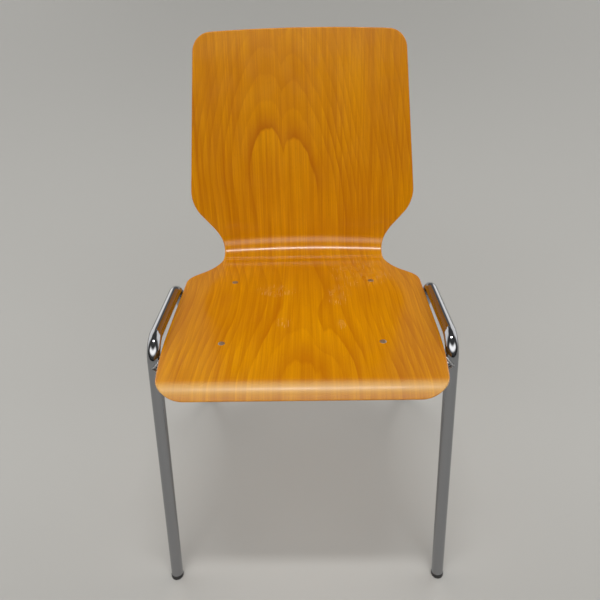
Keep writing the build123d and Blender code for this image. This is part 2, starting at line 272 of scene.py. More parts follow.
# %% Notches, and the ring number at every place
notch_x = wood("MapRange", along, *NOTCH_SHIFTS, SEAT_NOTCH_X, BACK_NOTCH_X, **SMOOTH)
off_notch = wood("Math", wood("Math", across, notch_x, operation="SUBTRACT"), operation="ABSOLUTE")
notch = wood("Math", wood("Math", off_notch, -NOTCH_WIDTH, operation="DIVIDE"), operation="EXPONENT")
seat_begins = wood("MapRange", along, *SEAT_NOTCH_BEGINS, 0.0, SEAT_NOTCH_RINGS, **SMOOTH)
seat_ends = wood("MapRange", along, *SEAT_NOTCH_ENDS, 0.0, SEAT_NOTCH_RINGS, **SMOOTH)
seat_notch = wood("Math", seat_begins, seat_ends, operation="SUBTRACT")
back_notch = wood("MapRange", along, *BACK_NOTCH_BEGINS, 0.0, BACK_NOTCH_RINGS, **SMOOTH)
notched = wood("Math", notch, wood("Math", seat_notch, back_notch, operation="ADD"), operation="MULTIPLY")
unrest = wood("Math", stretched_noise(14.0, 200.0, Detail=2.0), 2 * RING_UNREST, -RING_UNREST,
              operation="MULTIPLY_ADD")
rings = wood("Math", sideways, HEART_RING, operation="SUBTRACT")
for part in (seat_climb, back_climb, notched, unrest):
    rings = wood("Math", rings, part, operation="ADD")
year = wood("Math", rings, operation="FRACT")
which_year = wood("Math", rings, operation="FLOOR")
print("ring numbers:", len(beech.node_tree.nodes), "nodes")

# %% [markdown]
# A year's growth is dark just outside its line and pales slowly until the next one. Good and poor years
# are darker and paler, the year that edges a heart is the darkest, and inside the back's heart the wood
# is plain. Every year number gives its own random value, so one line keeps its tone all the way round.

# %% How strongly each year's line shows
year_tone = wood("ValToRGB", year, stops=[(place, (tone, tone, tone, 1)) for place, tone in YEAR_TONES])
good_year = wood("TexWhiteNoise", which_year, noise_dimensions="1D")
contrast = wood("MapRange", good_year, 0.0, 1.0, 0.30, 0.75)
on_back = wood("MapRange", along, *BACK_EDGE_BEGINS, 0.0, 1.0, **SMOOTH)
on_seat = wood("MapRange", along, *SEAT_EDGE_ENDS, 0.8, 0.0, **SMOOTH)
for heart_year, where in ((BACK_HEART_YEAR, on_back), (SEAT_HEART_YEAR, on_seat)):
    edge = wood("Math", which_year, heart_year, 0.5, operation="COMPARE")
    contrast = wood("Math", contrast, wood("Math", edge, where, operation="MULTIPLY"), operation="MAXIMUM")
fading = wood("MapRange", stretched_noise(50.0, 160.0), 0.3, 0.65, 0.5, 1.0, **SMOOTH)
outside_heart = wood("MapRange", rings, BACK_HEART_YEAR - 0.1, BACK_HEART_YEAR, 0.25, 1.0, **SMOOTH)
below_heart = wood("MapRange", along, *PLAIN_HEART_BEGINS, 0.0, 1.0, **SMOOTH)
plain = wood("Math", outside_heart, below_heart, operation="MAXIMUM")
upper_calm = wood("MapRange", along, *CALM_BEGINS, 1.0, 0.5, **SMOOTH)
year_line = year_tone
for part in (contrast, fading, plain, upper_calm):
    year_line = wood("Math", year_line, part, operation="MULTIPLY")
print("growth lines:", len(beech.node_tree.nodes), "nodes")

# %% [markdown]
# Fibres, streaks, pores and a slow change of tone over the sheet are laid over the lines, each as a
# small shift towards another colour.

# %% Colour of the face veneer
def laid_over(colour, layers):
    """A colour with each layer laid over it. A layer is where it shows, how strongly, and its colour."""
    for where, strength, shade in layers:
        share = wood("Math", where, strength, operation="MULTIPLY")
        colour = wood("Mix", share, colour, shade, data_type="RGBA")
    return colour


fibre_noise = stretched_noise(FIBRE_WIDTH, FIBRE_LENGTH, Detail=4.0, Roughness=0.6)
fibre = wood("MapRange", fibre_noise, 0.34, 0.66, 0.0, 1.0, **SMOOTH)
streak_noise = stretched_noise(STREAK_WIDTH, STREAK_LENGTH, Detail=2.0)
streak = wood("MapRange", streak_noise, 0.40, 0.68, 0.0, 1.0, **SMOOTH)
pore = wood("MapRange", stretched_noise(PORE_WIDTH, PORE_LENGTH, Detail=1.0), 0.60, 0.72, 0.0, 1.0, **SMOOTH)
tone = wood("MapRange", stretched_noise(110.0, 170.0, Detail=2.0), 0.3, 0.7, 0.0, 1.0, **SMOOTH)
veneer = laid_over(LIGHT_WOOD, [
    (year_line, 0.95, DARK_WOOD), (fibre, 0.52, FIBRE_WOOD), (streak, 0.36, DARK_WOOD),
    (pore, 0.16, PORE_WOOD), (tone, 0.30, DARK_WOOD)])
print("veneer:", len(beech.node_tree.nodes), "nodes")

# %% [markdown]
# ## Wear, and a painted highlight
#
# Scratches are short pale strokes along the seat. They are stretched noise cut off near its peaks, and
# kept to soft ovals where the lacquer is worn. The same mask dulls the gloss. A cream band along the
# front edge is a painted highlight: the lamp's reflection on the curve, laid into the colour.

# %% Where the lacquer is worn
WORN_PLACES = [  # x, s, half width, half length of the ovals
    (105.0, 235.0, 62.0, 66.0),
    (62.0, 150.0, 24.0, 44.0),
    (-45.0, 168.0, 40.0, 26.0),
    (-30.0, 58.0, 15.0, 18.0),
    (62.0, 52.0, 8.0, 20.0),
]
RUBBED_FROM = (-86.0, -106.0)  # s, where the front edge is rubbed by the sitters' legs
# s, where a painted highlight lies along the front edge: a pale band standing in for the lamp's reflection
PAINTED_HIGHLIGHT_BEGINS, PAINTED_HIGHLIGHT_ENDS = (-92.0, -106.0), (-109.0, -122.0)  # s, the pale line along the front edge
worn = 0.0
for x, s, half_width, half_length in WORN_PLACES:
    aside = wood("Math", wood("Math", across, x, operation="SUBTRACT"), half_width, operation="DIVIDE")
    ahead = wood("Math", wood("Math", along, s, operation="SUBTRACT"), half_length, operation="DIVIDE")
    ahead_squared = wood("Math", ahead, ahead, operation="MULTIPLY")
    far = wood("Math", aside, aside, ahead_squared, operation="MULTIPLY_ADD")
    oval = wood("MapRange", far, 0.2, 1.1, 1.0, 0.0, **SMOOTH)
    worn = wood("Math", worn, oval, operation="MAXIMUM")
print(len(WORN_PLACES), "worn places")

# %% Scratches, smears, the rubbed front edge and a painted highlight along it
stroke_noise = stretched_noise(SCRATCH_WIDTH, SCRATCH_LENGTH, Detail=2.0)
stroke = wood("MapRange", stroke_noise, 0.60, 0.70, 0.0, 1.0, **SMOOTH)
scratch = wood("Math", stroke, worn, operation="MULTIPLY")
blotch = wood("MapRange", stretched_noise(9.0, 22.0, Detail=3.0), 0.45, 0.65, 0.0, 1.0, **SMOOTH)
smear = wood("Math", blotch, worn, operation="MULTIPLY")
rubbed = wood("MapRange", along, *RUBBED_FROM, 0.0, 1.0, **SMOOTH)
# painted highlight: a band on the front edge's curve made paler where the lamp's reflection falls
highlight_band_begins = wood("MapRange", along, *PAINTED_HIGHLIGHT_BEGINS, 0.0, 1.0, **SMOOTH)
highlight_band_ends = wood("MapRange", along, *PAINTED_HIGHLIGHT_ENDS, 1.0, 0.0, **SMOOTH)
painted_highlight = wood("Math", highlight_band_begins, highlight_band_ends, operation="MULTIPLY")
# the last layer lays the painted highlight's cream over the front edge; the layers before it are wear
veneer = laid_over(veneer, [
    (smear, 0.06, SCRATCH_PALE), (scratch, 0.32, SCRATCH_PALE), (rubbed, 0.08, SCRATCH_PALE),
    (painted_highlight, 0.36, PAINTED_HIGHLIGHT_CREAM)])
print("veneer with its wear:", len(beech.node_tree.nodes), "nodes")

# %% [markdown]
# ## The cut edge
#
# The edge shows nine plies. Their grain runs one way and then the other, so they are light and dark in
# turn, with a thin dark glue line between. Depth below the upper face is stored on the shell's points,
# so the plies follow the rounded edge as they do when a real edge is sanded.

# %% Plies
ply_number = wood("Math", depth_mm, SHELL_THICKNESS / PLIES, operation="DIVIDE")
crossing = wood("Math", wood("Math", ply_number, operation="FLOOR"), 2.0, operation="MODULO")
from_glue = wood("Math", ply_number, 0.5, operation="PINGPONG")
glue = wood("MapRange", from_glue, 0.06, 0.12, 1.0, 0.0, **SMOOTH)
plies = laid_over(LONG_GRAIN_PLY, [(crossing, 1.0, END_GRAIN_PLY), (glue, 0.7, GLUE_LINE)])
below_top_ply = wood("MapRange", ply_number, 0.98, 1.02, 0.0, 1.0, **SMOOTH)
above_low_ply = wood("MapRange", ply_number, PLIES - 1.02, PLIES - 0.98, 1.0, 0.0, **SMOOTH)
inner = wood("Math", below_top_ply, above_low_ply, operation="MULTIPLY")
wood_colour = laid_over(veneer, [(inner, 1.0, plies)])
print("veneer and plies:", len(beech.node_tree.nodes), "nodes")

# %% Gloss and relief of the lacquer
dull = wood("MapRange", stretched_noise(30.0, 40.0, Detail=3.0), 0.3, 0.7, 0.15, 0.21, **SMOOTH)
for where, duller in ((rubbed, 0.13), (worn, 0.08), (scratch, 0.25)):
    dull = wood("Math", where, duller, dull, operation="MULTIPLY_ADD")
sunk = wood("Math", scratch, -1.0, operation="MULTIPLY")
relief = wood("Math", fibre, -0.5, sunk, operation="MULTIPLY_ADD")
surface(wood, wood_colour, dull, relief, 0.12, 0.1, IOR=1.48, **{"Specular IOR Level": 0.45})
print("lacquered beech:", len(beech.node_tree.nodes), "nodes")

# %% [markdown]
# ## Chrome, plated steel and black plastic
#
# Chrome plate is a mirror a little darker than silver, so its look comes from what stands round it; a
# faint clouding and hairline scratches keep it from looking like glass. The nuts, screws and washers
# are zinc plated, duller. The glides and pads are black polyamide with a fine moulded grain.

# %% Metals and plastic
def grained(node, size_mm, stretch=(1.0, 1.0, 1.0), **detail):
    """Noise on the piece's own coordinates, its grains this many millimetres across."""
    where = node("TexCoord").node.outputs["Object"]
    scaled = node("Mapping", where, Scale=stretch)
    return node("TexNoise", scaled, Scale=1 / (size_mm * MM), **detail)


# Chromium reflects nearly without colour, and it copies every scratch of the tube. Its grey is set a
# little darker than the metal's own, because the pale floor here is brighter than most rooms.
chrome, node = new_material("chrome_plated_tube")
clouding = node("MapRange", grained(node, 35.0, Detail=3.0), 0.35, 0.7, 0.035, 0.10)
hairlines = grained(node, 0.8, stretch=(1.0, 1.0, 0.05), Detail=2.0)
scratched = node("MapRange", hairlines, 0.62, 0.75, 0.0, 0.10)
dull = node("Math", clouding, scratched, operation="ADD")
surface(node, linear("#9B9C9F"), dull, hairlines, 0.05, 0.02, Metallic=1.0)

# Zinc plate is soft, so it is dull and spotted, and it has yellowed with age.
plated, node = new_material("zinc_plated_steel")
spots = grained(node, 2.5, Detail=4.0)
tint = node("ValToRGB", spots, stops=[(0.3, linear("#8F897C")), (0.7, linear("#B9B2A2"))])
surface(node, tint, node("MapRange", spots, 0.3, 0.7, 0.45, 0.3), spots, 0.15, 0.05, Metallic=1.0)

# Black polyamide is a warm near black with a satin, finely grained skin, scuffed grey in places.
plastic, node = new_material("black_polyamide")
grain = grained(node, 0.6, Detail=3.0)
scuff = grained(node, 3.0, stretch=(1.0, 1.0, 2.5), Detail=4.0)
tint = node("ValToRGB", scuff, stops=[(0.45, linear("#1A1A1B")), (0.75, linear("#3A3937"))])
surface(node, tint, node("MapRange", scuff, 0.3, 0.7, 0.38, 0.55), grain, 0.3, 0.05, IOR=1.53)

# Weld metal under chrome is rougher than the tube, with the darker clouding of its ripples.
weld, node = new_material("chromed_weld")
ripples = grained(node, 1.5, Detail=3.0)
tint = node("ValToRGB", ripples, stops=[(0.3, linear("#8E8E8E")), (0.7, linear("#BDBDBE"))])
surface(node, tint, node("MapRange", ripples, 0.3, 0.7, 0.22, 0.38), ripples, 0.4, 0.1, Metallic=1.0)
print("materials:", [m.name for m in bpy.data.materials])

# %% [markdown]
# ## The shell's middle line
#
# Seen from the side, the shell is an arc at the front edge, a flat seat that falls a little towards the
# back, a second arc, and a straight back. Walking along it, only the heading changes, and the place is
# the sum of the steps: an arc of radius R moves by R times the change of the heading's sine and cosine.

# %% Profile of the shell
SEAT_SLOPE, RECLINE = radians(4.0), radians(14.0)
FRONT_ROLL_RADIUS, FRONT_ROLL_TURN = 30.0, radians(65.0)
REAR_BEND_RADIUS, BEND_TURN = 45.0, radians(90.0) - RECLINE + SEAT_SLOPE
SEAT_FLAT_FRONT, SEAT_FLAT_REAR, BACK_LENGTH = 91.5, 293.0, 369.5
BACK_HOLLOW_RADIUS = 1200.0
HOLLOW_STARTS, HOLLOW_FULL = 285.0, 385.0
FIXING_Y, FIXING_Z = -159.5, 440.5  # the front fixings, where s = 0
LIP_S = -SEAT_FLAT_FRONT - FRONT_ROLL_RADIUS * FRONT_ROLL_TURN
BACK_START_S = SEAT_FLAT_REAR + REAR_BEND_RADIUS * BEND_TURN
TOP_S = BACK_START_S + BACK_LENGTH


def profile(s):
    """Place (y, z) and heading of the upper face's middle line at length s."""
    rolled = np.clip(-SEAT_FLAT_FRONT - s, 0, None) / FRONT_ROLL_RADIUS
    bent = np.clip((s - SEAT_FLAT_REAR) / REAR_BEND_RADIUS, 0, BEND_TURN)
    flat = np.clip(s, -SEAT_FLAT_FRONT, SEAT_FLAT_REAR)
    up = np.clip(s - BACK_START_S, 0, None)
    heading = rolled + bent - SEAT_SLOPE
    swing_y, swing_z = np.sin(heading) + sin(SEAT_SLOPE), np.cos(heading) - cos(SEAT_SLOPE)
    radius = np.where(rolled > 0, -FRONT_ROLL_RADIUS, REAR_BEND_RADIUS)
    y = FIXING_Y + flat * cos(SEAT_SLOPE) + radius * swing_y + up * np.cos(heading)
    z = FIXING_Z - flat * sin(SEAT_SLOPE) - radius * swing_z + up * np.sin(heading)
    return y, z, heading


def hollow(s):
    """Curvature from side to side: none on the seat, growing over the bend to 1/1200 on the back. It
    follows 3 p^2 - 2 p^3, which starts and ends without a kink."""
    part = np.clip((s - HOLLOW_STARTS) / (HOLLOW_FULL - HOLLOW_STARTS), 0, 1)
    return part * part * (3 - 2 * part) / BACK_HOLLOW_RADIUS


def hollow_growth(s):
    """How fast the hollow grows with s: its derivative, 6 p (1 - p) over the length and the radius."""
    part = np.clip((s - HOLLOW_STARTS) / (HOLLOW_FULL - HOLLOW_STARTS), 0, 1)
    return 6 * part * (1 - part) / (HOLLOW_FULL - HOLLOW_STARTS) / BACK_HOLLOW_RADIUS


def shell_point(s, x, depth=0.0):
    """Point of the bent sheet: the middle line's place, raised along its normal by the hollow
    (curvature times x squared over 2) and lowered by the depth."""
    y, z, heading = profile(s)
    rise = hollow(s) * x * x / 2 - depth
    return np.stack([x + 0 * s, y - np.sin(heading) * rise, z + np.cos(heading) * rise], -1)


def shell_directions(s, x):
    """Unit vectors along the sheet, across it and out of its upper face. The hollow tilts the sheet
    sideways by hollow * x and lengthwise by its growth * x squared over 2."""
    _, _, heading = profile(s)
    none = 0 * heading * x
    ahead = np.stack([none, np.cos(heading) + none, np.sin(heading) + none], -1)
    up = np.stack([none, none - np.sin(heading), none + np.cos(heading)], -1)
    sideways = np.stack([1 + none, none, none], -1)
    along = ahead + up * (hollow_growth(s) * x * x / 2)[..., None]
    across = sideways + up * (hollow(s) * x)[..., None]
    along /= np.linalg.norm(along, axis=-1, keepdims=True)
    across /= np.linalg.norm(across, axis=-1, keepdims=True)
    out = np.cross(across, along)
    return along, across, out / np.linalg.norm(out, axis=-1, keepdims=True)


print(f"sheet from s = {LIP_S:.1f} to {TOP_S:.1f} mm")

# %% [markdown]
# ## The blank's outline
#
# The flat blank is cut before it is bent. Half its outline is a walk of arcs and straight runs from the
# front edge to the top corner, with the narrow waist at the bend. Each run starts where the last one
# ended and in the same direction, so the outline has no corners.

# %% Outline of the blank
LIP_HALF_WIDTH = 160.0
SEAT_STRAIGHT_TO = 203.0
TOP_CROWN_RADIUS, TOP_CORNER_RADIUS = 2500.0, 35.0
ROW_STEP = 3.0  # distance between the surface's rows


def walk_arc(path, radius, turn):
    """Adds an arc: the place moves by radius times the change of the heading's sine and cosine.
    A turn is in degrees, and a positive one widens the blank."""
    s, w, heading = path[-1][-1]
    count = max(4, round(radius * radians(abs(turn)) / ROW_STEP))
    new = heading + radians(turn) * np.arange(1, count + 1) / count
    side = np.sign(turn) * radius
    path.append(np.stack([s + side * (np.sin(new) - sin(heading)),
                          w - side * (np.cos(new) - cos(heading)), new], -1))


def walk_straight(path, length):
    """Adds a straight run."""
    s, w, heading = path[-1][-1]
    part = length * np.linspace(0, 1, max(2, round(length / ROW_STEP)) + 1)[1:]
    path.append(np.stack([s + part * cos(heading), w + part * sin(heading), heading + 0 * part], -1))


path = [np.array([[LIP_S, LIP_HALF_WIDTH, radians(90)]])]
walk_arc(path, 43.0, 7.1 - 90.0)  # front corner
walk_arc(path, 1000.0, -7.1)  # side of the front part
walk_straight(path, SEAT_STRAIGHT_TO - path[-1][-1][0])
walk_arc(path, 40.0, -47.5)  # rear corner of the seat
walk_straight(path, 17.0)
walk_arc(path, 98.0, 47.5)  # waist
walk_arc(path, 86.0, 40.5)
walk_straight(path, 31.0)
walk_arc(path, 68.0, -45.25)  # lower corner of the back

# %% [markdown]
# The top corner is an arc that touches both the leaning side and the crowned top edge. Its centre is
# one corner radius inside the side, and that much inside the crown's circle, so it is where a line and
# a circle meet: a quadratic equation.

# %% The top corner
s, w, heading = path[-1][-1]
crown_centre = TOP_S - TOP_CROWN_RADIUS
inside_s, inside_w = s + TOP_CORNER_RADIUS * sin(heading), w - TOP_CORNER_RADIUS * cos(heading)
ahead = (inside_s - crown_centre) * cos(heading) + inside_w * sin(heading)
off = hypot(inside_s - crown_centre, inside_w) ** 2 - (TOP_CROWN_RADIUS - TOP_CORNER_RADIUS) ** 2
to_corner = -ahead + sqrt(ahead * ahead - off)
walk_straight(path, to_corner)
centre_s, centre_w = inside_s + to_corner * cos(heading), inside_w + to_corner * sin(heading)
crown_heading = atan2(centre_w, centre_s - crown_centre) - radians(90)
walk_arc(path, TOP_CORNER_RADIUS, degrees(crown_heading - heading))
side = np.vstack(path)
print(f"outline: {len(side)} rows, widest {side[:, 1].max():.1f}, waist "
      f"{side[(side[:, 0] > 220) & (side[:, 0] < 420), 1].min():.1f} mm")

# %% [markdown]
# ## The shell's surface
#
# Each row of the surface runs from side to side between two points of the outline. Near the top the
# rows bow upwards, so that the last one is the crowned top edge. The upper and the lower face are the
# same grid at two depths, and a rounded rim joins them. Solidify and Bevel could do this to a plain
# sheet, but here the rim's points know their depth, which the plies need.

# %% Rows, columns and the rim
COLUMNS = 61
EDGE_RADIUS = 1.8
EDGE_STEPS = 5
BOW_LENGTH = 150.0  # the rows begin to bow upwards this far below the top
out_s, out_w = -np.sin(side[:, 2]), np.cos(side[:, 2])
end_s, end_w = side[:, 0] - EDGE_RADIUS * out_s, side[:, 1] - EDGE_RADIUS * out_w
t = np.linspace(-1, 1, COLUMNS)
crown = TOP_S - EDGE_RADIUS - end_s[-1]
bow = np.clip((end_s - end_s[-1] + BOW_LENGTH) / BOW_LENGTH, 0, 1)
bow = crown * bow * bow * (3 - 2 * bow)
grid_s = end_s[:, None] + bow[:, None] * (1 - t * t)
grid_x = end_w[:, None] * t
rows = len(side)
index = np.arange(rows * COLUMNS).reshape(rows, COLUMNS)

rim = np.concatenate([index[0], index[1:, -1], index[-1, -2::-1], index[-2:0:-1, 0]])
top_lean = np.arcsin(grid_x[-1] / TOP_CROWN_RADIUS)
rim_out = np.concatenate([
    np.stack([-np.ones(COLUMNS), np.zeros(COLUMNS)], -1),
    np.stack([out_s, out_w], -1)[1:-1],
    np.stack([np.cos(top_lean), np.sin(top_lean)], -1)[::-1],
    np.stack([out_s, -out_w], -1)[-2:0:-1]])
rim_s, rim_x = grid_s.reshape(-1)[rim], grid_x.reshape(-1)[rim]
print("rim:", len(rim), "points", len(rim_out))

# %% [markdown]
# The four holes for the sleeve nuts are part of the grid. Round each one a square of faces is left
# out, and rings carry the square's edge into a circle, down the countersink and through the bore to
# the lower face. A Boolean would cut the same holes, but it leaves long thin faces that shade badly.

# %% Holes for the fixings
FIXING_SPACING_X, FIXING_SPACING_S = 243.0, 201.0
FIXINGS = {(row, hand): (s, x) for row, s in (("front", 0.0), ("rear", FIXING_SPACING_S))
           for hand, x in (("left", -FIXING_SPACING_X / 2), ("right", FIXING_SPACING_X / 2))}
SINK_RADIUS, SINK_DEPTH, BORE_RADIUS = 5.4, 1.4, 4.2
HOLE_MARGIN = 11.0  # the square of faces left out reaches this far from the hole's centre


def hole_border(s, x):
    """Rows and columns of the square round a hole, and the square's border in order."""
    near_rows = np.flatnonzero(np.abs(end_s - s) <= HOLE_MARGIN)
    row_width = end_w[near_rows[len(near_rows) // 2]]
    near_columns = np.flatnonzero(np.abs(t * row_width - x) <= HOLE_MARGIN)
    r0, r1, c0, c1 = near_rows[0], near_rows[-1], near_columns[0], near_columns[-1]
    border = np.concatenate([index[r0, c0:c1], index[r0:r1, c1], index[r1, c1:c0:-1], index[r1:r0:-1, c0]])
    return (slice(r0, r1), slice(c0, c1)), border


kept = np.ones((rows - 1, COLUMNS - 1), bool)
borders = {}
for key, (s, x) in FIXINGS.items():
    square, borders[key] = hole_border(s, x)
    kept[square] = False
print("faces left out for holes:", int((~kept).sum()), "border points:", [len(b) for b in borders.values()])

# %% Building the shell
flat_s, flat_x, flat_depth, flat_up, flat_out = [], [], [], [], []
shell_faces = []


def lay(s, x, depth, up, out):
    """Keeps a run of shell points: place on the sheet, depth, and how far the surface there faces up
    and outwards (the parts of its normal along the sheet's normal and within the sheet)."""
    first = sum(len(part) for part in flat_s)
    flat_s.append(s)
    flat_x.append(x)
    flat_depth.append(depth + 0 * s)
    flat_up.append(up + 0 * s)
    flat_out.append(out)
    return first + np.arange(len(s))


no_out = np.zeros((rows * COLUMNS, 2))
upper = lay(grid_s.ravel(), grid_x.ravel(), 0.0, 1.0, no_out)
lower = lay(grid_s.ravel(), grid_x.ravel(), SHELL_THICKNESS, -1.0, no_out)
grid_faces = faces_between(index, around=False).reshape(rows - 1, COLUMNS - 1, 4)[kept]
shell_faces += [upper[grid_faces], lower[grid_faces][:, ::-1]]

turn = np.linspace(0, pi / 2, EDGE_STEPS + 1)[1:]
levels = [(EDGE_RADIUS * sin(a), EDGE_RADIUS * (1 - cos(a)), cos(a), sin(a)) for a in turn]
levels += [(o, SHELL_THICKNESS - d, -up, out) for o, d, up, out in levels[::-1]]
loops = [upper[rim]]
for outwards, depth, up, out in levels:
    loops.append(lay(rim_s + outwards * rim_out[:, 0], rim_x + outwards * rim_out[:, 1],
                     depth, up, rim_out * out))
loops.append(lower[rim])
shell_faces.append(faces_between(np.stack(loops))[:, ::-1])  # seen from outside

SINK_EDGE = 0.12  # the countersink's mouth is eased by this much
HALFWAY_RADIUS = 8.0
for key, (s, x) in FIXINGS.items():
    border = borders[key]
    angle = np.arctan2(grid_s.ravel()[border] - s, grid_x.ravel()[border] - x)
    ring = np.stack([np.sin(angle), np.cos(angle)], -1)
    steps = [  # radius, depth, facing up, facing the hole's middle
        (SINK_RADIUS + SINK_EDGE, 0.0, 1.0, 0.0), (SINK_RADIUS, SINK_EDGE, 0.7, 0.7),
        (SINK_RADIUS, SINK_DEPTH, 0.2, 0.9), (BORE_RADIUS, SINK_DEPTH, 0.7, 0.7),
        (BORE_RADIUS, SHELL_THICKNESS, -0.7, 0.7)]
    # one ring half way between the square and a circle keeps the faces even
    between_s = (grid_s.ravel()[border] + s + HALFWAY_RADIUS * ring[:, 0]) / 2
    between_x = (grid_x.ravel()[border] + x + HALFWAY_RADIUS * ring[:, 1]) / 2
    middle = [upper[border], lay(between_s, between_x, 0.0, 1.0, 0 * ring)]
    for radius, depth, up, out in steps:
        middle.append(lay(s + radius * ring[:, 0], x + radius * ring[:, 1], depth, up, -ring * out))
    middle.append(lower[border])
    shell_faces.append(faces_between(np.stack(middle)))

flat_s, flat_x = np.concatenate(flat_s), np.concatenate(flat_x)
flat_depth, flat_up = np.concatenate(flat_depth), np.concatenate(flat_up)
flat_out = np.concatenate(flat_out)
shell_points = shell_point(flat_s, flat_x, flat_depth)
shell = make_piece("moulded_shell", shell_points, shell_faces, beech,
                   ["plywood_shell"], even=False)

# %% [markdown]
# The sheet's coordinates go on as a UV map, in metres, and the depth as an attribute. The surface's
# true normals are known from its formula, so they are given to the mesh: the highlights at the bend
# and along the front edge stay clean however large the faces are.

# %% Sheet coordinates, depth and normals of the shell
mesh = shell.data
corner_vertex = np.zeros(len(mesh.loops), np.int32)
mesh.loops.foreach_get("vertex_index", corner_vertex)
sheet_layer = mesh.uv_layers.new(name="sheet")
sheet_layer.data.foreach_set("uv", (np.stack([flat_x, flat_s], -1)[corner_vertex] * MM).ravel())
mesh.attributes.new("depth", "FLOAT", "POINT").data.foreach_set("value", flat_depth.astype(np.float32))
along_dir, across_dir, up_dir = shell_directions(flat_s, flat_x)
normals = up_dir * flat_up[:, None] + along_dir * flat_out[:, :1] + across_dir * flat_out[:, 1:]
normals /= np.linalg.norm(normals, axis=1, keepdims=True)
mesh.normals_split_custom_set_from_vertices(normals.tolist())
print("shell top at", round(float(shell_points[:, 2].max()), 2), "mm")

# %% [markdown]
# ## The side hoops
#
# Each hoop is one length of 20 mm tube, bent twice on a tube bender: front leg, rail beside the seat,
# rear leg. A curve with a bevel would show it, but not hollow. Here circles are carried along the
# centre line, outside on the way there and inside on the way back, so the tube has its real wall.

# %% Centre line of a hoop
TUBE_RADIUS, TUBE_WALL = 10.0, 2.0
FOOT_X, HOOP_LEAN = 229.0, 8.0 / 453.0
HOOP_CORNERS = [(-253.5, 0.0), (-175.2, 453.5), (15.8, 432.6), (212.5, 0.0)]  # (y, z), front to rear
HOOP_BENDS = [33.0, 46.0]
GLIDE_HEIGHTS = [6.5, 9.0]  # the tube's ends stand this far up the legs
AROUND = 64  # points round a tube


def hoop_corner_points(hand):
    """Corners of a hoop's centre line; the hoop leans in by HOOP_LEAN per millimetre of height."""
    y, z = np.array(HOOP_CORNERS).T
    return np.stack([hand * (FOOT_X - HOOP_LEAN * z), y, z], -1)


def rounded_line(corners, radii, step=4.0):
    """Centre line with its corners rounded. Each arc starts radius * tan(half the turn) before its
    corner; its points are corner-side centre + radius * (turning unit vector)."""
    runs = np.diff(corners, axis=0)
    runs /= np.linalg.norm(runs, axis=1, keepdims=True)
    places, headings = [corners[:1]], [runs[:1]]
    for corner, before, after, radius in zip(corners[1:-1], runs[:-1], runs[1:], radii):
        turn = np.arccos(np.clip(before @ after, -1, 1))
        start = corner - before * radius * tan(turn / 2)
        inwards = after - before * (before @ after)
        inwards /= np.linalg.norm(inwards)
        a = np.linspace(0, turn, max(8, round(radius * turn / 1.5)))[:, None]
        places.append(start + radius * (np.sin(a) * before + (1 - np.cos(a)) * inwards))
        headings.append(np.cos(a) * before + np.sin(a) * inwards)
    places.append(corners[-1:])
    headings.append(runs[-1:])
    return np.vstack(places), np.vstack(headings)


def circles(places, headings, level, radius, around=AROUND):
    """Circle round each place, square to its heading; level is a direction square to them all."""
    upright = np.cross(headings, level)
    a = np.linspace(0, 2 * pi, around, endpoint=False)[None, :, None]
    spokes = np.cos(a) * np.broadcast_to(level, headings.shape)[:, None] + np.sin(a) * upright[:, None]
    radius = np.broadcast_to(radius, len(places))[:, None, None]
    return places[:, None] + radius * spokes


# %% The two hoops
hoop_corners = {hand: hoop_corner_points(-1 if hand == "left" else 1) for hand in ("left", "right")}
for hand, corners in hoop_corners.items():
    ends = corners.copy()
    first, last = corners[1] - corners[0], corners[2] - corners[3]
    ends[0] += first / np.linalg.norm(first) * GLIDE_HEIGHTS[0]
    ends[3] += last / np.linalg.norm(last) * GLIDE_HEIGHTS[1]
    places, headings = rounded_line(ends, HOOP_BENDS)
    level = np.cross(first, corners[2] - corners[1])
    level /= np.linalg.norm(level)
    outside = circles(places, headings, level, TUBE_RADIUS)
    inside = circles(places, headings, level, TUBE_RADIUS - TUBE_WALL)[::-1]
    points, faces = skin_of_rings(np.concatenate([outside, inside]), closed=True)
    make_piece(f"{hand}_hoop_tube", points, faces, chrome, [f"{hand}_side_hoop"])

# %% [markdown]
# ## Cross tubes and their welds
#
# The cross tubes end in saddles cut to the legs they meet. For each point round the tube the saddle
# says how far it reaches: the place along x where the distance to the leg's axis is the leg's radius,
# which again is a quadratic. The weld is a rippled bead carried along the same saddle line.

# %% Cross tubes
def saddle(hand, row, y, z):
    """x at which a line along x through (y, z) enters the leg's outside, on the chair's inner side."""
    corners = hoop_corners[hand]
    foot, top = (corners[0], corners[1]) if row == "front" else (corners[3], corners[2])
    axis = (top - foot) / np.linalg.norm(top - foot)
    from_foot = np.stack([0 * y - foot[0], y - foot[1], z - foot[2]], -1)
    lengthwise = from_foot @ axis
    a = 1 - axis[0] ** 2
    b = 2 * (from_foot[..., 0] - lengthwise * axis[0])
    c = (from_foot ** 2).sum(-1) - lengthwise ** 2 - TUBE_RADIUS ** 2
    root = np.sqrt(b * b - 4 * a * c)
    inner = -1 if hand == "right" else 1
    return (-b + inner * root) / (2 * a)


def cross_middle(row):
    """Centre (y, z) of a cross tube, from its box in the frame, in millimetres."""
    low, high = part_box(f"{row}_cross_tube")
    return (low.y + high.y) / 2 / MM, (low.z + high.z) / 2 / MM


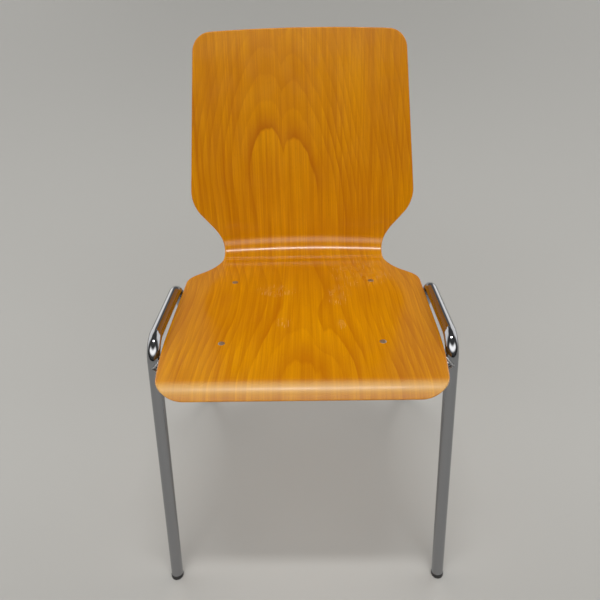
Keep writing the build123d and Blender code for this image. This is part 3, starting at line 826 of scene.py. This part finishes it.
round_angle = np.linspace(0, 2 * pi, AROUND, endpoint=False)
spoke = np.stack([0 * round_angle, np.cos(round_angle), np.sin(round_angle)], -1)
for row in ("front", "rear"):
    y, z = cross_middle(row)
    print(row, "cross tube at", round(y, 1), round(z, 1))
    rings = []
    for radius, way in ((TUBE_RADIUS, 1), (TUBE_RADIUS - TUBE_WALL, -1)):
        round_y, round_z = y + radius * spoke[:, 1], z + radius * spoke[:, 2]
        left, right = saddle("left", row, round_y, round_z), saddle("right", row, round_y, round_z)
        along = np.linspace(0, 1, 24)[::way, None]
        x = left * (1 - along) + right * along
        rings.append(np.stack([x, np.broadcast_to(round_y, x.shape), np.broadcast_to(round_z, x.shape)], -1))
    points, faces = skin_of_rings(np.concatenate(rings), closed=True)
    make_piece(f"{row}_rail_tube", points, faces, chrome, [f"{row}_cross_tube"])

# %% Weld beads where the cross tubes meet the legs
BEAD_RADIUS, BEAD_RIPPLE, RIPPLES = 2.3, 0.35, 26
bead_angle = np.linspace(0, 2 * pi, 12, endpoint=False)[None, :, None]
seam_angle = np.linspace(0, 2 * pi, 6 * RIPPLES, endpoint=False)  # six points to a ripple
for row in ("front", "rear"):
    y, z = cross_middle(row)
    for hand, inner in (("left", 1), ("right", -1)):
        out = np.stack([0 * seam_angle, np.cos(seam_angle), np.sin(seam_angle)], -1)
        seam = np.array([0.0, y, z]) + TUBE_RADIUS * out
        seam[:, 0] = saddle(hand, row, seam[:, 1], seam[:, 2])
        inwards = np.broadcast_to(np.array([inner, 0.0, 0.0]), out.shape)
        size = BEAD_RADIUS + BEAD_RIPPLE * np.abs(np.sin(RIPPLES * seam_angle / 2))
        bead = seam[:, None] + size[:, None, None] * (
            np.cos(bead_angle) * out[:, None] + np.sin(bead_angle) * inwards[:, None])
        points, faces = skin_of_rings(bead, closed=True)
        make_piece(f"{row}_{hand}_weld", points, faces, weld, [], even=False)

# %% [markdown]
# ## Plates, pads and fasteners
#
# Four small plates are welded on the cross tubes. On each lies a plastic pad, on the pad the shell, and
# a screw with a washer comes up through all of them into a sleeve nut. They are turned parts, so each
# is a profile of radius and height carried round the fixing's axis; the plate is the same idea with a
# rounded rectangle outside and a round hole inside.

# %% Where the fixings are, and turning a profile
def fixing_axes(row, hand):
    """Centre on the seat's upper face, and the directions across, along and up at a fixing."""
    s, x = (np.array(value) for value in FIXINGS[row, hand])
    along, across, up = shell_directions(s, x)
    return shell_point(s, x), across, along, up


def turned(row, hand, profile_points, around=48, shape=None):
    """Rings of a turned part: centre + radius * (cosine across + sine along) + height * up. The shape
    may change the radius with the angle, for a hexagon."""
    centre, across, along, up = fixing_axes(row, hand)
    radius, height = np.array(profile_points).T
    a = np.linspace(0, 2 * pi, around, endpoint=False)
    spokes = np.cos(a)[:, None] * across + np.sin(a)[:, None] * along
    radius = radius[:, None] * (np.ones(around) if shape is None else shape(a))
    return centre + radius[..., None] * spokes + height[:, None, None] * up


def eased(radius, height, ease, up=1):
    """Two points that ease the corner between a flat face and a round side."""
    return [(radius - ease, height), (radius, height - up * ease)]


# %% Sleeve nuts and screws
PAD_THICKNESS, PLATE_THICKNESS, WASHER_THICKNESS = 2.0, 3.0, 1.0
NUT_HEAD_RADIUS, NUT_HEAD_THICKNESS, NUT_BARREL_RADIUS, NUT_LENGTH = 5.25, 1.2, 4.0, 9.5
NUT_FACE_RADIUS = 3.2  # a ring inside the head's face, which keeps the face flat up to its edge
NUT_BORE_END = 0.8  # the threaded bore ends this far below the head
SCREW_RADIUS, SCREW_LENGTH, SCREW_HEAD_RADIUS, SCREW_HEAD_HEIGHT = 3.0, 13.5, 5.0, 5.0
HEX_SOCKET, HEX_DEPTH = 2.2, 2.5
under_plate = -SHELL_THICKNESS - PAD_THICKNESS - PLATE_THICKNESS
seat_of_head = under_plate - WASHER_THICKNESS


def hexagon(a):
    """Radius of a hexagon whose flats stand 1 from the middle, at angle a."""
    return 1 / np.cos((a + pi / 6) % (pi / 3) - pi / 6)


nut_profile = [
    (NUT_FACE_RADIUS, 0.0),
    *eased(NUT_HEAD_RADIUS, 0.0, 0.55),
    *eased(NUT_HEAD_RADIUS, -NUT_HEAD_THICKNESS, 0.15, up=-1)[::-1],
    (NUT_BARREL_RADIUS, -NUT_HEAD_THICKNESS),
    *eased(NUT_BARREL_RADIUS, -NUT_LENGTH, 0.3, up=-1)[::-1],
    (SCREW_RADIUS, -NUT_LENGTH),
    (SCREW_RADIUS, -NUT_HEAD_THICKNESS - NUT_BORE_END)]
head_low = seat_of_head - SCREW_HEAD_HEIGHT
shank_top = seat_of_head + SCREW_LENGTH
screw_profile = [
    *eased(SCREW_RADIUS, shank_top, 0.5),
    (SCREW_RADIUS, seat_of_head),
    *eased(SCREW_HEAD_RADIUS, seat_of_head, 0.1),
    *eased(SCREW_HEAD_RADIUS, head_low, 0.5, up=-1)[::-1]]
for row, hand in FIXINGS:
    points, faces = skin_of_rings(turned(row, hand, nut_profile))
    make_piece(f"{row}_{hand}_nut", points, faces, plated, [f"{row}_{hand}_sleeve_nut"])
    body = turned(row, hand, screw_profile)
    socket = turned(row, hand, [(HEX_SOCKET + 0.2, head_low), (HEX_SOCKET, head_low + 0.2),
                                (HEX_SOCKET, head_low + HEX_DEPTH)], shape=hexagon)
    points, faces = skin_of_rings(np.concatenate([body, socket]))
    make_piece(f"{row}_{hand}_screw", points, faces, plated, [f"{row}_{hand}_shell_screw"])

# %% Washers and spacer pads
def flat_ring(outer, hole, top, thickness, ease):
    """Profile of a flat ring with eased edges, once round its section."""
    low = top - thickness
    return [(hole + ease, top), *eased(outer, top, ease), *eased(outer, low, ease, up=-1)[::-1],
            (hole + ease, low), (hole, low + ease), (hole, top - ease)]


for row, hand in FIXINGS:
    rings = turned(row, hand, flat_ring(6.0, 3.2, under_plate, WASHER_THICKNESS, 0.15))
    points, faces = skin_of_rings(rings, closed=True)
    make_piece(f"{row}_{hand}_flat_washer", points, faces, plated, [f"{row}_{hand}_washer"])
    rings = turned(row, hand, flat_ring(12.0, 3.5, -SHELL_THICKNESS, PAD_THICKNESS, 0.5))
    points, faces = skin_of_rings(rings, closed=True)
    make_piece(f"{row}_{hand}_pad", points, faces, plastic, [f"{row}_{hand}_spacer_pad"])

# %% Mounting plates
PLATE_WIDTH, PLATE_MARGIN, PLATE_CORNER, PLATE_HOLE, PLATE_EASE = 34.0, 13.5, 6.0, 3.2, 0.5
PLATE_POINTS = 72  # points round the plate's outline, and as many round its hole
OFF_AXIS = 1e-4  # turns the first point off the plate's axis, so that each corner gets its own points
PLATE_BEAD_RADIUS, PLATE_BEAD_RIPPLE, PLATE_BEAD_DROP, PLATE_BEAD_END = 1.9, 0.3, 1.6, 3.0


def rounded_rectangle(width, length, corner, inset):
    """Points of a rectangle with round corners: a direction from the middle, pushed out to the sides,
    with the corner's circle where it leaves them. The middle of each corner is fixed, and the point is
    that middle + radius * direction."""
    a = np.linspace(0, 2 * pi, PLATE_POINTS, endpoint=False) + OFF_AXIS
    middle_x = (width / 2 - corner) * np.sign(np.cos(a))
    middle_y = (length / 2 - corner) * np.sign(np.sin(a))
    return np.stack([middle_x, middle_y], -1) + (corner - inset) * np.stack([np.cos(a), np.sin(a)], -1)


for row, hand in FIXINGS:
    centre, across, along, up = fixing_axes(row, hand)
    y, z = cross_middle(row)
    tube_along = (np.array([centre[0], y, z]) - centre) @ along
    front, rear = tube_along - PLATE_MARGIN, PLATE_MARGIN
    angles = np.linspace(0, 2 * pi, PLATE_POINTS, endpoint=False) + OFF_AXIS
    hole = PLATE_HOLE * np.stack([np.cos(angles), np.sin(angles)], -1)
    shift = np.array([0.0, (front + rear) / 2])
    top, low = -SHELL_THICKNESS - PAD_THICKNESS, under_plate
    sections = [(hole, top)]
    upper_edge = [(PLATE_EASE, top), (0.0, top - PLATE_EASE)]
    lower_edge = [(0.0, low + PLATE_EASE), (PLATE_EASE, low)]
    for inset, height in upper_edge + lower_edge:
        sections.append((rounded_rectangle(PLATE_WIDTH, rear - front, PLATE_CORNER, inset) + shift, height))
    sections.append((hole, low))
    rings = np.stack([centre + loop[:, :1] * across + loop[:, 1:] * along + height * up
                      for loop, height in sections])
    points, faces = skin_of_rings(rings, closed=True)
    make_piece(f"{row}_{hand}_plate", points, faces, chrome, [f"{row}_{hand}_mounting_plate"])

    # two short beads hold the plate to its tube
    bead_end = PLATE_WIDTH / 2 - PLATE_BEAD_END
    bead_length = np.linspace(-bead_end, bead_end, 40)
    for bead, way in (("fore", -1), ("aft", 1)):
        drop = under_plate - PLATE_BEAD_DROP
        reach = sqrt(TUBE_RADIUS ** 2 - (TUBE_RADIUS - 0.6 - PLATE_BEAD_DROP) ** 2)
        bead_middle = centre + (tube_along + way * reach) * along + drop * up
        places = bead_middle + bead_length[:, None] * across
        ends = np.sqrt(np.clip(1 - (bead_length / bead_end) ** 8, 0.03, 1))  # rounds the bead's ends
        size = (PLATE_BEAD_RADIUS + PLATE_BEAD_RIPPLE * np.abs(np.sin(bead_length * 1.1))) * ends
        headings = np.broadcast_to(across, places.shape)
        points, faces = skin_of_rings(circles(places, headings, up, size, around=12))
        make_piece(f"{row}_{hand}_{bead}_plate_weld", points, faces, weld, [], even=False)

# %% [markdown]
# ## Feet
#
# A moulded plug sits in each tube's end, with a collar hardly wider than the tube and a sole cut level
# with the floor. The legs lean, so the lowest rings are level circles and the upper ones square to the
# leg; between them the rings turn gradually.

# %% Foot glides
GLIDE_RADIUS, PLUG_RADIUS, PLUG_LENGTH = 10.4, 8.0, 22.0
for hand, corners in hoop_corners.items():
    for row, foot, top, height in (("front", corners[0], corners[1], GLIDE_HEIGHTS[0]),
                                   ("rear", corners[3], corners[2], GLIDE_HEIGHTS[1])):
        axis = (top - foot) / np.linalg.norm(top - foot)
        radius, rise, level = np.array([  # radius, distance up the leg, how level the ring is
            (GLIDE_RADIUS - 3.0, 0.0, 1.0),
            (GLIDE_RADIUS - 1.2, 0.0, 1.0),
            (GLIDE_RADIUS - 0.35, 0.35, 1.0),
            (GLIDE_RADIUS, 1.2, 0.8),
            (GLIDE_RADIUS, height - 0.6, 0.0),
            (GLIDE_RADIUS - 0.25, height - 0.1, 0.0),
            (GLIDE_RADIUS - 0.7, height, 0.0),
            (PLUG_RADIUS, height, 0.0),
            (PLUG_RADIUS, height + PLUG_LENGTH - 1, 0.0),
            (PLUG_RADIUS - 1, height + PLUG_LENGTH, 0.0)]).T
        first = np.cross(axis, np.array([0.0, 1.0, 0.0]))
        first /= np.linalg.norm(first)
        second = np.cross(axis, first)
        a = np.linspace(0, 2 * pi, AROUND, endpoint=False)
        square = np.cos(a)[:, None] * first + np.sin(a)[:, None] * second
        # a level ring is the square one slid along the leg until it is flat
        slid = square - axis * (square[:, 2:] / axis[2])
        level = level[:, None, None]
        spokes = slid * level + square * (1 - level)
        rings = foot + rise[:, None, None] * axis + radius[:, None, None] * spokes
        points, faces = skin_of_rings(rings)
        stands_for = [f"{row}_{hand}_foot_glide"]
        make_piece(f"{row}_{hand}_glide", points, faces, plastic, stands_for)

# %% [markdown]
# ## Floor, light and camera
#
# The floor is one pale sheet. A narrow bright panel high in front gives the thin line where the seat
# bends into the back and the one along the front edge, because both reflect what is above. The room
# round the chair is not modelled: it is a glow whose strength depends on the direction, dark in front,
# with a window's light above eye level and pale walls beside and behind, for the chrome to reflect.

# %% The floor
FLOOR_HALF_SIZE = 20.0  # metres
floor_mesh = bpy.data.meshes.new("studio_floor")
floor_corners = FLOOR_HALF_SIZE * np.array([(-1, -1, 0), (1, -1, 0), (1, 1, 0), (-1, 1, 0)])
floor_mesh.from_pydata(floor_corners.tolist(), [], [(0, 1, 2, 3)])
floor = bpy.data.objects.new("studio_floor", floor_mesh)
bpy.context.scene.collection.objects.link(floor)
floor_paint, node = new_material("pale_floor_paint")
matt = node("BsdfPrincipled", linear("#BDBCB8"), Roughness=0.7, **{"Specular IOR Level": 0.3})
node("OutputMaterial", matt)
floor_mesh.materials.append(floor_paint)
floor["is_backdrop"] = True
print("floor:", 2 * FLOOR_HALF_SIZE, "m square")

# %% The panel above
PANEL_PLACE, PANEL_TARGET = Vector((0.0, -0.72, 4.0)), Vector((0.0, 0.1, 0.4))
PANEL_WIDTH, PANEL_LENGTH, PANEL_RADIANCE = 1.5, 0.22, 42.0
panel = bpy.data.lights.new("overhead_panel", "AREA")
panel.shape, panel.size, panel.size_y = "RECTANGLE", PANEL_WIDTH, PANEL_LENGTH
panel.energy = PANEL_RADIANCE * pi * PANEL_WIDTH * PANEL_LENGTH  # an even panel sends out pi per radiance
lamp = bpy.data.objects.new("overhead_panel", panel)
bpy.context.scene.collection.objects.link(lamp)
lamp.location = PANEL_PLACE
lamp.rotation_euler = (PANEL_TARGET - PANEL_PLACE).to_track_quat("-Z", "Y").to_euler()
print(f"overhead panel: {panel.energy:.0f} W")

# %% The room's glow
FRONT_DARK, FRONT_GLOW, WALL_GLOW, SIDE_GLOW, WINDOW_GLOW = 0.03, 0.10, 0.20, 1.6, 2.65
BACKDROP = 0.45  # what shows beyond the floor, whichever way the chair is looked at
room = bpy.data.worlds.new("room")
bpy.context.scene.world = room
room.use_nodes = True
room.node_tree.nodes.clear()
sky = partial(add, room.node_tree)
towards = sky("SeparateXYZ", sky("TexCoord")).node.outputs
# the bounds below are sines of angles: 0 is level or to one side, 1 is straight up or straight behind
to_side, to_rear, upwards = sky("Math", towards["X"], operation="ABSOLUTE"), towards["Y"], towards["Z"]
front = sky("MapRange", upwards, 0.05, 0.18, FRONT_DARK, FRONT_GLOW, **SMOOTH)
rear_wall = sky("MapRange", to_rear, 0.05, 0.40, 0.0, WALL_GLOW, **SMOOTH)
beside = sky("MapRange", to_side, 0.20, 0.36, 0.0, SIDE_GLOW, **SMOOTH)
behind = sky("MapRange", to_rear, 0.0, 0.30, 0.0, 1.0, **SMOOTH)
side_walls = sky("Math", beside, behind, operation="MULTIPLY")
under_ceiling = sky("MapRange", upwards, 0.70, 0.85, 1.0, 0.0, **SMOOTH)
walls = sky("Math", rear_wall, side_walls, operation="MAXIMUM")
walls = sky("Math", walls, under_ceiling, operation="MULTIPLY")
window = sky("MapRange", upwards, 0.28, 0.50, 0.0, WINDOW_GLOW, **SMOOTH)
window_top = sky("MapRange", upwards, 0.60, 0.80, 1.0, 0.0, **SMOOTH)
in_front = sky("MapRange", to_rear, -0.25, -0.55, 0.0, 1.0, **SMOOTH)
for part in (window_top, in_front):
    window = sky("Math", window, part, operation="MULTIPLY")
glow = sky("Math", sky("Math", walls, front, operation="MAXIMUM"), window, operation="ADD")
seen = sky("LightPath")  # its first output is 1 for what the camera sees directly
strength = sky("Mix", seen, glow, BACKDROP)
sky("OutputWorld", sky("Background", linear("#FBFAF8"), strength))
bpy.context.scene.view_settings.view_transform = "Standard"
print("room:", len(room.node_tree.nodes), "nodes")

# %% Camera
CAMERA_PLACE = (0.01435, -0.8828, 0.9835)
CAMERA_TILT, CAMERA_TURN, CAMERA_ROLL = radians(32.861), radians(1.256), radians(1.492)
lens = bpy.data.cameras.new("viewer")
lens.lens, lens.sensor_width = 36.06, 36.0
camera = bpy.data.objects.new("viewer", lens)
bpy.context.scene.collection.objects.link(camera)
turned_aside, rolled = Matrix.Rotation(CAMERA_TURN, 4, "Z"), Matrix.Rotation(-CAMERA_ROLL, 4, "Z")
tilted_down = Matrix.Rotation(radians(90) - CAMERA_TILT, 4, "X")
camera.matrix_world = Matrix.Translation(CAMERA_PLACE) @ turned_aside @ tilted_down @ rolled
bpy.context.scene.camera = camera
print(f"camera {CAMERA_PLACE[2]:.2f} m up, tilted down by {degrees(CAMERA_TILT):.1f} degrees")

# %% Sizes, and the end
def plain(value):
    """A box as plain lists of numbers."""
    return [[float(v) for v in corner] for corner in value]


{"cad": plain(cad_box), "visual": plain(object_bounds())}
